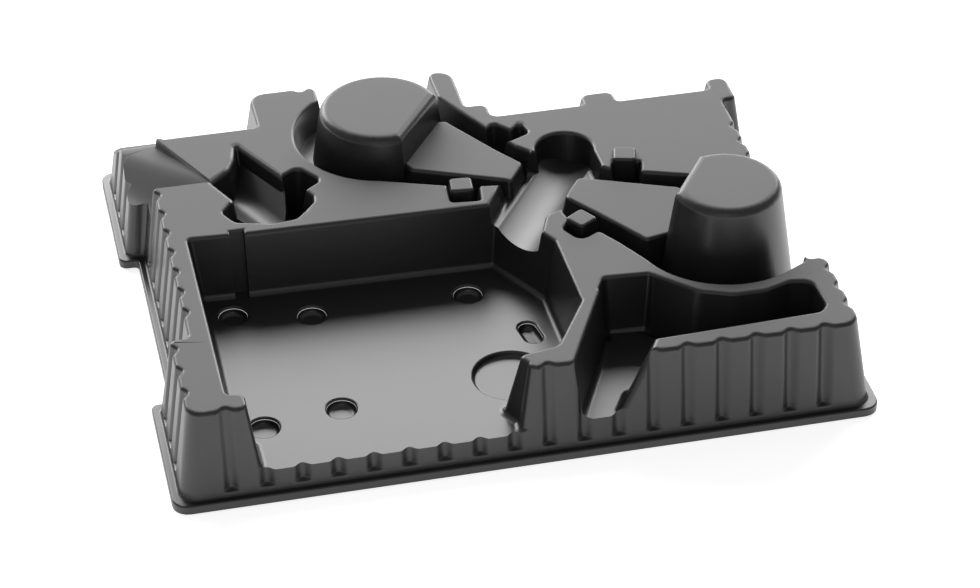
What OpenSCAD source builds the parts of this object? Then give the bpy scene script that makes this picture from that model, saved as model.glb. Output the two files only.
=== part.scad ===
// Tool case insert: one sheet of dark plastic, vacuum formed over a mould.
// The outer form and the same form moved inward by the sheet thickness are
// made by one module, and the sheet is the difference of the two.
// Plan points are measured from the front left corner of the foot flange,
// and the finished tray is moved so that its origin is bottom centre.

/* [Sheet] */
// Thickness of the formed sheet
sheet_t = 1.1; // [0.8:0.1:1.6]
// Draft of the outer walls and pocket walls, degrees
wall_draft = 8; // [5:0.5:9]
// Height of the deck above the rest plane
deck_h = 56; // [50:1:62]

/* [Foot flange] */
// Overall width along X
flange_w = 386; // [380:1:396]
// Overall depth along Y
flange_d = 320; // [316:1:328]
// Height of the turned down lip
lip_h = 5; // [4:0.5:7]
// Width of the ledge between lip and wall foot
ledge_w = 4.5; // [3.5:0.5:5.5]
// Corner radius of flange and walls
corner_r = 9; // [7:0.5:10]
// How far the side walls step in between the corner blocks
side_step = 10.5; // [9:0.5:12]

/* [Flutes] */
// Spacing of the grooves in the front, left and back walls
flute_pitch = 19; // [17:0.5:21]
// Spacing of the grooves in the right wall
right_pitch = 16.3; // [15:0.1:18]
// Width of one groove
flute_w = 9; // [7:0.5:10]
// Depth of one groove
flute_depth = 2.8; // [2:0.1:3.2]
// Height at which the grooves end above the ledge
flute_foot = 7.4; // [6.5:0.1:9]

/* [Pocket floors] */
// Floor of the big tray pocket
tray_floor = 17; // [15:0.5:20]
// Floor of the channels round the two islands
channel_floor = 17; // [15:0.5:20]
// Floor of the saddle between the islands
saddle_floor = 40.5; // [38:0.5:44]
// Floor of the chute that opens to the front
chute_floor = 20; // [18:0.5:24]
// Floor of the deep pocket at the front right
deep_floor = 9; // [8:0.5:14]
// Lowest line of the round cradle at the back left
cradle_floor = 38; // [35:0.5:42]
// Radius of the cradle's round bottom
cradle_r = 24; // [20:0.5:27]
// Floor of the clip notch behind the left channel
clip_floor = 38; // [34:0.5:42]
// Floor of the finger notches beside the cradle
notch_floor = 24; // [22:0.5:28]
// Radius of the saddle's hollow floor
saddle_r = 27; // [24:0.5:30]
// Rounding of the upright corners where a pocket leaves through a wall
exit_r = 4.5; // [3:0.5:6]
// Height of the ledge in the left round channel
ledge_h = 38; // [34:0.5:42]

/* [Islands] */
// Height of the wing platforms
wing_h = 54; // [50:0.5:56]
// Height of the left tower
left_tower_h = 73; // [66:1:78]
// Height of the right tower
right_tower_h = 86; // [78:1:92]
// Radius of the left tower at its top
left_tower_r = 35; // [32:0.5:36]
// Radius of the right tower at its top
right_tower_r = 30; // [27:0.5:31]
// Radius of the round channels at deck level
ring_r = 51; // [50:0.5:53]
// Distance of the left tower's flat from its centre
left_flat = 24.4; // [22:0.2:26]
// Distance of the right tower's flat from its centre
right_flat = 22.8; // [20:0.2:24]
// Rounding of the top edges of the towers
tower_round = 4; // [3:0.5:5]

/* [Floor dimples] */
// Radius of a small round dimple
dimple_r = 8.6; // [7.5:0.1:9.5]
// Depth of a small dimple
dimple_depth = 4.4; // [3:0.2:6]
// Radius of the large round sink
sink_r = 21.3; // [19:0.1:22]
// Depth of the large round sink
sink_depth = 3.2; // [2:0.2:5]

/* [Snap nubs] */
// Side of a square snap nub
nub_side = 13; // [11:0.5:14]
// Height of a nub's top above the deck
nub_rise = 3; // [1.5:0.1:4]

/* [Hidden] */
slope = tan(wall_draft);
wall_t = sheet_t / cos(wall_draft);
over = 3;
arc_steps = 3;
tower_slope = tan(8.5);
wall_inset = ledge_w + (deck_h - lip_h) * slope;

// Flange outline, counter clockwise: x, y and corner radius
small_r = corner_r * 0.55;
flange = [
    [0, 0, corner_r],
    [flange_w, 0, corner_r],
    [flange_w, 86, small_r],
    [flange_w - side_step, 86, 3],
    [flange_w - side_step, 229, 3],
    [flange_w - 2, 229, small_r],
    [flange_w - 2, 276, small_r],
    [348, 276, small_r],
    [348, 265, 3],
    [314, 265, 3],
    [314, 276, small_r],
    [271, 276, small_r],
    [271, 265, 3],
    [238, 265, small_r],
    [238, 279, small_r],
    [225, 279, 3],
    [225, flange_d, corner_r],
    [79, flange_d, corner_r],
    [79, 284, 3],
    [45, 284, 3],
    [45, flange_d, small_r],
    [0, flange_d, corner_r - 2],
    [0, 226, small_r],
    [side_step, 226, 3],
    [side_step, 90, 3],
    [0, 90, 3.5],
];

// Groove rows: which edge, margin at its start and end, spacing
rows = [
    [0, 29, 29, flute_pitch],
    [1, 26, 19, right_pitch],
    [3, 60, 17, right_pitch],
    [16, 24, 39, flute_pitch],
    [21, 22, 18, flute_pitch],
    [23, 10, 10, flute_pitch],
    [25, 20.5, 31.5, flute_pitch],
];

// Tray pocket rim at deck level
tray_rim = [
    [43, -12, 0.6],
    [191, -12, 0.6],
    [193, 17, 2],
    [189, 24, 3],
    [212, 28, 8],
    [234, 65, 3],
    [233, 122, 3],
    [228, 131, 3],
    [209, 164, 2],
    [62, 166.5, 1.5],
    [34, 168.5, 2.5],
    [34, 26, 3],
    [43, 24, 4],
];

// Deep pocket and chute rims at deck level
deep_rim = [
    [262, 22.5, 3],
    [357, 26, 6],
    [361, 32, 5],
    [360, 54, 6],
    [348, 56, 5],
    [334, 51, 14],
    [316, 51, 14],
    [298, 58, 20],
    [276, 80, 10],
    [250, 82, 4],
    [245, 72, 4],
];
chute_low = [
    [211, -12, 0.6],
    [238, -12, 0.6],
    [241.5, 11.5, 5],
    [249, 24, 3],
    [262, 26, 3],
    [285, 60, 3],
    [273, 77, 3],
    [253, 78, 3],
    [248.5, 67, 6],
];
chute_high = [
    [204.6, -12, 0.6],
    [257, -12, 0.6],
    [259, 13, 5],
    [264, 22.5, 3],
    [272, 26, 3],
    [287, 62, 3],
    [276, 80, 3],
    [250, 82, 3],
    [246.5, 73, 6],
];
// Round ended step in the deep pocket that carries the chute floor
chute_step = [
    [205, -20, 3],
    [290, -20, 3],
    [290, 30, 3],
    [280, 66, 8],
    [269, 77.5, 11],
    [254, 78, 9],
];

// Channel rims at deck level: the left one and the right one
left_centre = [160, 252];
right_centre = [326, 111];
right_tower_centre = right_centre + [2.5, 3.5];
left_rim = concat(
    [[203.5, 184, 2], [214, 182.5, 4], [228, 190, 4], [238, 201, 5], [240, 212, 3]],
    [[233, 219, 3], [222, 239, 4], [200, 281, 6]],
    [[199, 345, 0.6], [131, 345, 0.6]],
    [for (a = [126:11:258]) rim_point(left_centre, ring_r, a)],
    [[186, 188.5, 1.5], [184.5, 171.5, 2], [201.5, 169.5, 2]]
);
right_rim = concat(
    [[244, 148, 2], [246, 139, 1.5], [240, 132, 3], [247, 119, 5], [259, 126, 3]],
    [[268, 112, 8]],
    [for (a = [200:12:296]) rim_point(right_centre, ring_r, a)],
    [[361, 72, 3], [364, 78, 3], [400, 78, 0.6], [400, 138, 0.6], [364, 153, 6]],
    [[297, 177, 3], [300, 188, 1.5], [285, 193, 1.5], [281, 183.5, 2], [270, 193, 3]],
    [[262, 183, 3], [250, 165, 4]]
);
clip_rim = [
    [224, 224, 2],
    [232.5, 226, 2],
    [244, 231.5, 3.5],
    [241.5, 244, 3.5],
    [234, 236, 2],
    [226, 246, 3],
    [219, 240, 2],
];
saddle_rim = concat(
    [[199, 154, 0.6], [222, 120, 0.6], [229, 134, 4], [234, 147, 6], [243, 151, 3]],
    [[262, 160, 3], [277, 190, 3]],
    [for (a = [-15:19:175]) rim_point([260, 210], 17, a)],
    [[226, 206, 4], [212, 176, 3]]
);

// Wing platforms at their own height
left_wing = [
    [170, 211, 3],
    [219, 190, 4],
    [223, 187, 4],
    [234, 204, 4],
    [222, 221, 10],
    [200, 257, 3],
    [176, 262, 3],
    [158, 236, 3],
];
right_wing = [
    [283.5, 114, 3],
    [302, 118, 3],
    [328, 148, 3],
    [314, 161, 3],
    [273, 178, 12],
    [261, 183, 5],
    [249, 165, 5],
    [264, 144, 12],
];

// Ledge in the left channel, reaching under the wall and the tower
ledge_outline = [
    [100, 246, 2],
    [150, 246, 2],
    [150.5, 291.5, 2],
    [128, 302, 2],
    [100, 300, 2],
];

// Cradle and its finger notches at deck level
cradle_rim = [
    [55.5, 221.5, 1],
    [65, 202, 2],
    [62, 180, 3],
    [84, 174, 4],
    [104, 182, 4],
    [101, 214, 4],
    [95, 217, 2],
    [74.5, 257, 1],
    [72, 243, 12],
    [67, 231, 12],
];
left_notch = [
    [57, 190, 3],
    [62, 180, 4],
    [74, 180, 3],
    [72, 196, 3],
    [64, 200, 3],
];
right_notch = [
    [82, 173, 2],
    [97, 175, 5],
    [109, 189, 4],
    [110, 195, 3],
    [106.5, 202, 2],
    [117, 210, 4],
    [106, 226, 5],
    [96, 219, 3],
    [93, 203, 6],
];

node_colour = [0.2, 0.2, 0.2];

function rim_point(c, r, a) = [c[0] + r * cos(a), c[1] + r * sin(a), 0];
function cross2(a, b) = a[0] * b[1] - a[1] * b[0];
function unit2(v) = v / norm(v);

// Corner i of outline p moved inward by d
function moved(p, i, d) =
    let (
        n = len(p),
        a = [p[(i + n - 1) % n][0], p[(i + n - 1) % n][1]],
        b = [p[i][0], p[i][1]],
        c = [p[(i + 1) % n][0], p[(i + 1) % n][1]],
        u = unit2(b - a),
        v = unit2(c - b),
        nu = [-u[1], u[0]],
        nv = [-v[1], v[0]],
        k = 1 + nu * nv
    )
    b + (nu + nv) * d / k;

function turn(p, i) =
    let (
        n = len(p),
        a = [p[(i + n - 1) % n][0], p[(i + n - 1) % n][1]],
        b = [p[i][0], p[i][1]],
        c = [p[(i + 1) % n][0], p[(i + 1) % n][1]]
    )
    cross2(b - a, c - b);

// Rounded corner i: the radius stays with the draft and follows the sheet
function corner(p, i, d, s) =
    let (
        n = len(p),
        b = moved(p, i, d + s),
        a = moved(p, (i + n - 1) % n, d + s),
        c = moved(p, (i + 1) % n, d + s),
        u = unit2(a - b),
        v = unit2(c - b),
        bend = turn(p, i),
        half = acos(max(-1, min(1, u * v))) / 2,
        want = max(0.5, bend > 0 ? p[i][2] - s : p[i][2] + s),
        room = 0.45 * min(norm(a - b), norm(c - b)),
        cut = min(want / tan(half), room),
        r = cut * tan(half),
        m = b + unit2(u + v) * (r / sin(half)),
        p0 = b + u * cut - m,
        p1 = b + v * cut - m,
        a0 = atan2(p0[1], p0[0]),
        steps = p[i][2] > 5 ? arc_steps : (p[i][2] > 1.6 ? 2 : 1),
        sweep = cross2(p0, p1) > 0
            ? acos(max(-1, min(1, unit2(p0) * unit2(p1))))
            : -acos(max(-1, min(1, unit2(p0) * unit2(p1))))
    )
    p[i][2] == 0 || half > 89.5
        ? [b]
        : [for (k = [0:steps]) m + r * [cos(a0 + sweep * k / steps), sin(a0 + sweep * k / steps)]];

function outline(p, d, s) = [for (i = [0:len(p) - 1]) each corner(p, i, d, s)];

// Groove points along edge i, for the rows that name it
function groove_points(p, i, d, s, depth) = [
    for (row = rows) if (row[0] == i)
    let (
        n = len(p),
        a = [p[i][0], p[i][1]],
        b = [p[(i + 1) % n][0], p[(i + 1) % n][1]],
        u = unit2(b - a),
        inward = [-u[1], u[0]],
        run = norm(b - a) - row[1] - row[2],
        count = floor(run / row[3]) + 1,
        first = row[1] + (run - (count - 1) * row[3]) / 2
    )
    for (j = [0:count - 1])
        for (g = [[-0.5, 0], [-0.2, 0.85], [0.2, 0.85], [0.5, 0]])
            a + u * (first + j * row[3] + g[0] * (flute_w + (g[0] == 0 ? 0 : s)))
            + inward * (d + s + g[1] * depth)
];
function fluted(p, d, s, depth) = [
    for (i = [0:len(p) - 1]) each concat(corner(p, i, d, s), groove_points(p, i, d, s, depth))
];

// Solid through rings of equal point counts, each [height, points]
module stack(rings) {
    n = len(rings[0][1]);
    m = len(rings);
    points = [for (r = rings) for (q = r[1]) [q[0], q[1], r[0]]];
    sides = [
        for (k = [0:m - 2]) for (i = [0:n - 1]) each [
            [k * n + i, (k + 1) * n + (i + 1) % n, k * n + (i + 1) % n],
            [k * n + i, (k + 1) * n + i, (k + 1) * n + (i + 1) % n],
        ]
    ];
    floor_face = [[for (i = [0:n - 1]) i]];
    top_face = [[for (i = [n - 1:-1:0]) (m - 1) * n + i]];
    polyhedron(points, concat(sides, floor_face, top_face), convexity = 12);
}

module loft(low, high, z0, z1) {
    stack([[z0, low], [z1, high]]);
}

// Corners of a cut that opens upwards: its floor grown by s, and the same above the deck
function swept(floor_points, s) = [
    for (p = floor_points)
        for (d = [[1, 0, 0], [-1, 0, 0], [0, 1, 0], [0, -1, 0], [0, 0, -1]])
            for (z = [p[2] + 1.2 * s * d[2], deck_h + over])
                [p[0] + 1.2 * s * d[0], p[1] + 1.2 * s * d[1], z]
];

// Convex solid round a list of points
module wrap(points) {
    hull() polyhedron(points, [[for (i = [0:len(points) - 1]) i]]);
}

// Pocket cut down from the deck to floor_z; s is the depth below the outer skin
module pocket(rim, floor_z, s) {
    loft(
        outline(rim, (deck_h - floor_z + s) * slope, -s * wall_t / sheet_t),
        outline(rim, -over * slope, -s * wall_t / sheet_t),
        floor_z - s,
        deck_h + over
    );
}

// Saddle with a hollow floor that falls away to the tray pocket
module saddle(s) {
    intersection() {
        pocket(saddle_rim, saddle_floor - 6, s);
        union() {
            translate([180, 100, saddle_floor + 1.5 - s])
                cube([120, 140, deck_h]);
            translate([241, 182, saddle_floor - 2.5 + saddle_r])
                rotate([0, 90, 55.9])
                    cylinder(r = saddle_r + s, h = 120, center = true, $fn = 48);
        }
    }
}

// Chute cut with a steep left wall and a right wall that leans back
module chute(s) {
    grow = s * wall_t / sheet_t;
    rate = (deck_h + over - chute_floor) / (deck_h - chute_floor);
    low = outline(chute_low, 0, -grow);
    high = outline(chute_high, 0, -grow);
    loft(
        low,
        [for (i = [0:len(low) - 1]) low[i] + (high[i] - low[i]) * rate],
        chute_floor - s,
        deck_h + over
    );
}

// Raised form that widens downward from its outline at top_z
module raised(rim, top_z, foot_z, k, s) {
    loft(
        outline(rim, -(top_z - s - foot_z) * k, s * wall_t / sheet_t),
        outline(rim, 0, s * wall_t / sheet_t),
        foot_z,
        top_z - s
    );
}

// Flange block and fluted body
module shell_body(s) {
    loft(outline(flange, 0, s), outline(flange, 0, s), s > 0 ? -1 : 0, lip_h - s);
    function wall_ring(z, depth) = [z, fluted(flange, ledge_w + (z - lip_h) * slope, s, depth)];
    stack([
        wall_ring(1, 0),
        wall_ring(flute_foot - s, 0),
        wall_ring(flute_foot + 0.8 - s, flute_depth),
        wall_ring(deck_h - s, flute_depth),
    ]);
}

// Rounds the upright corner where a pocket leaves through an outer wall.
// at is the corner at deck level; wall_out and side_out are the directions
// in which the wall and the pocket's side face; side_rate is the side's draft.
module exit_corner(at, wall_out, side_out, side_rate, floor_z, s) {
    r = exit_r - s * wall_t / sheet_t;
    n_wall = [cos(wall_out), sin(wall_out)];
    n_side = [cos(side_out), sin(side_out)];
    c = n_wall * n_side;
    reach = exit_r * (n_wall + n_side) / (1 + c);
    drift = (n_wall * (slope - c * side_rate) + n_side * (side_rate - c * slope)) / (1 - c * c);
    sweep = (side_out - wall_out + 540) % 360 - 180;
    turns = sweep > 0 ? [3:-1:0] : [0:3];
    function ring_at(z) =
        let (m = at - reach + (deck_h - z) * drift)
        concat(
            [m + 1.6 * reach],
            [
                for (t = turns)
                    let (a = wall_out + sweep * t / 3, proud = t % 3 == 0 ? 0.08 : 0)
                    m + (r + proud) * [cos(a), sin(a)]
            ]
        );
    stack([
        [floor_z - s, ring_at(floor_z - s)],
        [deck_h + over, ring_at(deck_h + over)],
    ]);
}

module exit_corners(s) {
    front = wall_inset;
    back = flange_d - wall_inset;
    exit_corner([43, front], -90, 0, slope, tray_floor, s);
    exit_corner([192.6, front], -90, 176, slope, tray_floor, s);
    exit_corner([216.3, front], -90, -26.2, 0.16, chute_floor, s);
    exit_corner([258.9, front], -90, 175.4, 0.5, chute_floor, s);
    exit_corner([130.2, back], 90, -1.1, slope, channel_floor, s);
    exit_corner([199.6, back], 90, 180.9, slope, channel_floor, s);
}

// Round tower with one flat side that leans back towards the top
module tower(c, r, flat, flat_angle, flat_lean, top_z, s) {
    foot_z = channel_floor - s - 0.8;
    steps = 21;
    half = acos(flat / r);
    function ring_at(z, inset) = [
        for (i = [0:steps])
            let (
                rr = r + (top_z - z) * tower_slope - s - inset,
                ff = flat + (top_z - z) * flat_lean - s - inset,
                a = flat_angle + half + (360 - 2 * half) * i / steps,
                q = [rr * cos(a), rr * sin(a)],
                n = [cos(flat_angle), sin(flat_angle)]
            )
            c + q - n * max(0, q * n - ff)
    ];
    round_foot = top_z - tower_round;
    stack([
        [foot_z, ring_at(foot_z, 0)],
        [round_foot, ring_at(round_foot, 0)],
        [top_z - s, ring_at(top_z - s, tower_round * 0.55)],
    ]);
}

// Ledge in the left round channel between its wall and the tower
module channel_ledge(s) {
    raised(ledge_outline, ledge_h, channel_floor - 6, slope, s);
}

module islands(s) {
    foot_z = channel_floor - 6;
    raised(left_wing, wing_h, foot_z, slope, s);
    tower(left_centre, left_tower_r, left_flat, -35, 0.37, left_tower_h, s);
    raised(right_wing, wing_h, foot_z, slope, s);
    tower(right_tower_centre, right_tower_r, right_flat, 145.5, 0.515, right_tower_h, s);
    channel_ledge(s);
}

// Round bottomed cradle behind the tray pocket, with a deep notch each side
module cradle(s) {
    intersection() {
        pocket(cradle_rim, cradle_floor - 6, s);
        translate([78, 212, cradle_floor + cradle_r])
            rotate([0, 90, -64])
                cylinder(r = cradle_r + s, h = 120, center = true, $fn = 30);
    }
    pocket(left_notch, notch_floor, s);
    pocket(right_notch, notch_floor, s);
}

// Low corner at the back left, with the ramp that rises from it to the deck
module ramp(s) {
    foot = deck_h - 16.6;
    tail = deck_h - 30;
    wrap(swept([
        [-6, 222, foot], [50, 222, foot], [50, 226, foot - 0.5],
        [16, 298, tail + 4], [1, 330, tail], [-6, 330, tail]
    ], s));
    wrap(swept([
        [56, 222, deck_h], [50, 222, foot], [25, 273, deck_h - 6.5], [16, 298, tail + 4]
    ], s));
    wrap(swept([
        [25, 273, deck_h - 6.5], [45, 273, deck_h - 6.5], [45, 330, tail - 2],
        [1, 330, tail], [16, 298, tail + 4]
    ], s));
}

// Round dimple in the tray floor
module dish(r, depth, s, sides) {
    translate([0, 0, tray_floor - depth - s])
        cylinder(r1 = r - depth * 0.35 + s, r2 = r + s, h = depth + s, $fn = sides);
    translate([0, 0, tray_floor - 0.5])
        cylinder(r = r + s, h = s + 3, $fn = sides);
}

module dimples(s) {
    for (q = [[98, 49], [55, 42], [54, 144], [97, 135], [186, 135]])
        hull() translate([q[0], q[1], 0]) dish(dimple_r, dimple_depth, s, 18);
    hull() {
        translate([213, 88, 0]) dish(5.6, dimple_depth, s, 12);
        translate([211.5, 97, 0]) dish(5.6, dimple_depth, s, 12);
    }
    hull() translate([193, 57, 0]) dish(sink_r, sink_depth, s, 24);
}

// Small snap nub that stands in the channel at the deck edge
module nub(x, y, turn_angle, s) {
    top = deck_h + nub_rise - s;
    translate([x, y, 0])
        rotate([0, 0, turn_angle])
            wrap([
                for (q = [[channel_floor - 2, 7], [top - 1.2, 0], [top, -2]])
                    for (c = [[-1, -1], [1, -1], [1, 1], [-1, 1]])
                        [c[0] * (nub_side + q[1] - 2 * s) / 2, c[1] * (nub_side + q[1] - 2 * s) / 2, q[0]]
            ]);
}

module nubs(s) {
    nub(193, 183.5, -5, s);
    nub(251.5, 136, 33, s);
    nub(291.5, 193.5, -14, s);
}

// Upright slot in the back wall of the tray pocket
module tray_slot(s) {
    lean = (deck_h - tray_floor) * slope;
    half = 4 + s;
    deep = 171 + s;
    low = [[62 - half, 150], [62 + half, 150], [62 + half, deep - lean], [62 - half, deep - lean]];
    high = [[62 - half, 150], [62 + half, 150], [62 + half, deep], [62 - half, deep]];
    stack([[tray_floor - s, low], [deck_h, high], [deck_h + over, high]]);
}

// Everything, taken s below the outer skin
module form(s) {
    difference() {
        union() {
            difference() {
                shell_body(s);
                pocket(left_rim, channel_floor, s);
                pocket(right_rim, channel_floor, s);
                pocket(clip_rim, clip_floor, s);
                saddle(s);
            }
            islands(s);
            nubs(s);
        }
        pocket(tray_rim, tray_floor, s);
        tray_slot(s);
        difference() {
            pocket(deep_rim, deep_floor, s);
            raised(chute_step, chute_floor, deep_floor - 6, slope, s);
        }
        chute(s);
        exit_corners(s);
        cradle(s);
        ramp(s);
        dimples(s);
    }
}

module insert_tray() {
    color(node_colour)
        translate([-flange_w / 2, -flange_d / 2, 0])
            difference() {
                form(0);
                form(sheet_t);
            }
}

insert_tray();
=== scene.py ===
"""Looks of the tool case insert: one fine formed sheet, its finish and a soft studio.

The sheet is built in the units of its plan, millimetres from the front left corner
of the foot flange, and moved to the row frame in metres at the end. The outer skin
and the inner skin come from the same outlines. Apart from the towers, soft edges are
on the outer skin only, so the sheet is thinner at rims and thicker at feet of walls.
"""

import logging
import math
from collections.abc import Callable, Sequence
from dataclasses import dataclass, field
from enum import Enum

import bmesh
import bpy
import numpy as np
from mathutils import Matrix, Vector

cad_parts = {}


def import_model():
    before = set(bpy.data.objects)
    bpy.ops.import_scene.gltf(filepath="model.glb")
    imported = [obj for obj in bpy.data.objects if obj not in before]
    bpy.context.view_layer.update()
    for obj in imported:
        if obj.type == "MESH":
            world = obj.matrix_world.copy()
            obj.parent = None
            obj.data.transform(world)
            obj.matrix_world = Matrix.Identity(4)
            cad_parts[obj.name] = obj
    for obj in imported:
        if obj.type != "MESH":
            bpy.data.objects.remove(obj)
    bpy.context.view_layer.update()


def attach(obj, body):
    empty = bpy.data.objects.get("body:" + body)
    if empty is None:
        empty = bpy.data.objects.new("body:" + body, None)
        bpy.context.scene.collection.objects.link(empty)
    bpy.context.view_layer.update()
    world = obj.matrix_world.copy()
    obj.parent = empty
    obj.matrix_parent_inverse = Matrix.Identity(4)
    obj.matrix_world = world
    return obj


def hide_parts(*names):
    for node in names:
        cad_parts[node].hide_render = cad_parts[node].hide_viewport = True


LOG = logging.getLogger("insert")
NODE = "insert_tray"
BODY = "root"
# Millimetres that forms reach past a floor shaped by another one, and above the deck
SPARE = 6.0
CLEAR = 40.0

Pair = tuple[float, float]
Triple = tuple[float, float, float]
Corner = Triple
Points = np.ndarray
RingAt = Callable[[float, float], Points]


def placed(name: str, data: bpy.types.ID) -> bpy.types.Object:
    """New object, linked to the scene.

    Args:
        name: Name of what is made.
        data: What the object holds.

    Returns:
        The object.
    """
    made = bpy.data.objects.new(name, data)
    bpy.context.scene.collection.objects.link(made)
    return made


class Skin(Enum):
    """Which side of the sheet a form stands for."""

    OUTER = "outer"
    INNER = "inner"


class Blend(Enum):
    """How one closed mesh acts on another."""

    JOIN = "UNION"
    CUT = "DIFFERENCE"
    KEEP = "INTERSECT"


@dataclass(frozen=True)
class TraySizes:
    """Sizes of the tray in millimetres and degrees."""

    sheet: float = 1.1
    draft: float = 8.0
    deck: float = 56.0
    width: float = 386.0
    depth: float = 320.0
    lip: float = 5.0
    ledge: float = 4.5
    corner: float = 9.0
    side_step: float = 10.5
    flute_pitch: float = 19.0
    right_pitch: float = 16.3
    flute_width: float = 9.0
    flute_depth: float = 2.8
    flute_foot: float = 7.4
    tray_floor: float = 17.0
    channel_floor: float = 17.0
    saddle_floor: float = 40.5
    chute_floor: float = 20.0
    deep_floor: float = 9.0
    cradle_floor: float = 38.0
    cradle_bottom: float = 14.0
    cradle_lean: float = 38.0
    clip_floor: float = 38.0
    notch_floor: float = 24.0
    saddle_radius: float = 27.0
    exit_radius: float = 4.5
    ledge_top: float = 38.0
    wing: float = 54.0
    left_tower: float = 73.0
    right_tower: float = 86.0
    left_tower_radius: float = 35.0
    right_tower_radius: float = 30.0
    ring_radius: float = 51.0
    left_flat: float = 24.4
    right_flat: float = 22.8
    dimple_radius: float = 8.6
    dimple_depth: float = 4.4
    sink_radius: float = 21.3
    sink_depth: float = 3.2
    nub_side: float = 13.0
    nub_rise: float = 3.0
    nub_spread: float = 3.5
    nub_corner: float = 2.4
    tower_draft: float = 8.5
    dimple_rate: float = 0.35

    @property
    def slope(self) -> float:
        """Inward run of a drafted wall per millimetre of height."""
        return math.tan(math.radians(self.draft))

    @property
    def wall_scale(self) -> float:
        """Sideways shift of a drafted wall per millimetre of sheet."""
        return 1.0 / math.cos(math.radians(self.draft))


@dataclass(frozen=True)
class Rounding:
    """Radii in millimetres of the soft edges of the outer skin."""

    deck_edge: float = 2.2
    rim: float = 2.0
    floor: float = 3.0
    foot: float = 1.3
    lip: float = 1.0
    wing: float = 2.0
    tower: float = 4.6
    nub: float = 1.6
    dimple: float = 1.0
    cradle: float = 3.2
    tray_slot: float = 1.4


@dataclass(frozen=True)
class Slope:
    """A plane, by its drop below the deck at one plan place and its rates along X and Y."""

    drop: float
    at: Pair
    rates: Pair

    def height(self, x: Points, y: Points, deck: float) -> Points:
        """Heights of the plane at plan places.

        Args:
            x: Places along X.
            y: Places along Y.
            deck: Height of the deck.

        Returns:
            The heights.
        """
        (x0, y0), (rate_x, rate_y) = self.at, self.rates
        return deck - self.drop + rate_x * (x - x0) + rate_y * (y - y0)


@dataclass(frozen=True)
class LowCorner:
    """The low back left corner: a shelf, a ramp down from the deck and a tail."""

    shelf_drop: float = 19.0
    rise: Slope = Slope(17.0, (20.0, 236.0), (0.62, 0.38))
    ramp: Slope = Slope(0.0, (56.0, 221.0), (0.15, -0.034))
    tail: Slope = Slope(4.0, (0.0, 274.0), (0.0, -0.8))
    low: Slope = Slope(28.0, (0.0, 300.0), (0.0, -0.1))
    blend: float = 1.1
    outside: float = -6.0
    front: float = 221.5
    back: float = 334.0
    break_at: float = 272.5
    step_inset: float = 1.2
    step_width: float = 1.5
    step: tuple[Pair, ...] = (
        (0.25, 0.92), (0.45, 0.62), (0.6, 0.3), (0.72, 0.12), (0.86, 0.03), (1, -0.02),
    )

    def rows(self) -> list[float]:
        """Places along Y at which the surface is worked out."""
        return [
            *np.linspace(self.front, self.break_at - 0.1, 22), self.break_at + 0.2,
            *np.linspace(274, 292, 16), *np.linspace(296, self.back, 9),
        ]

    def edge(self, y: float) -> float:
        """Where the soft step up to the deck begins at one place along Y.

        Args:
            y: Place along Y.

        Returns:
            The place along X.
        """
        border = 56 - 26 * (y - self.front) / 52.5 if y <= self.break_at else 48.0
        return border - self.step_inset

    def height(self, x: Points, y: Points, deck: float) -> Points:
        """Softly blended lowest of shelf, ramp and tail.

        Args:
            x: Places along X.
            y: Places along Y.
            deck: Height of the deck.

        Returns:
            The heights.
        """
        planes = (self.rise, self.ramp, self.tail, self.low)
        rise, ramp, tail, low = (plane.height(x, y, deck) for plane in planes)
        shelf = np.logaddexp(0.0, rise - deck + self.shelf_drop) + deck - self.shelf_drop
        total = sum(np.exp(-h / self.blend) for h in (shelf, ramp, np.maximum(tail, low)))
        return -self.blend * np.log(total)


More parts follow.
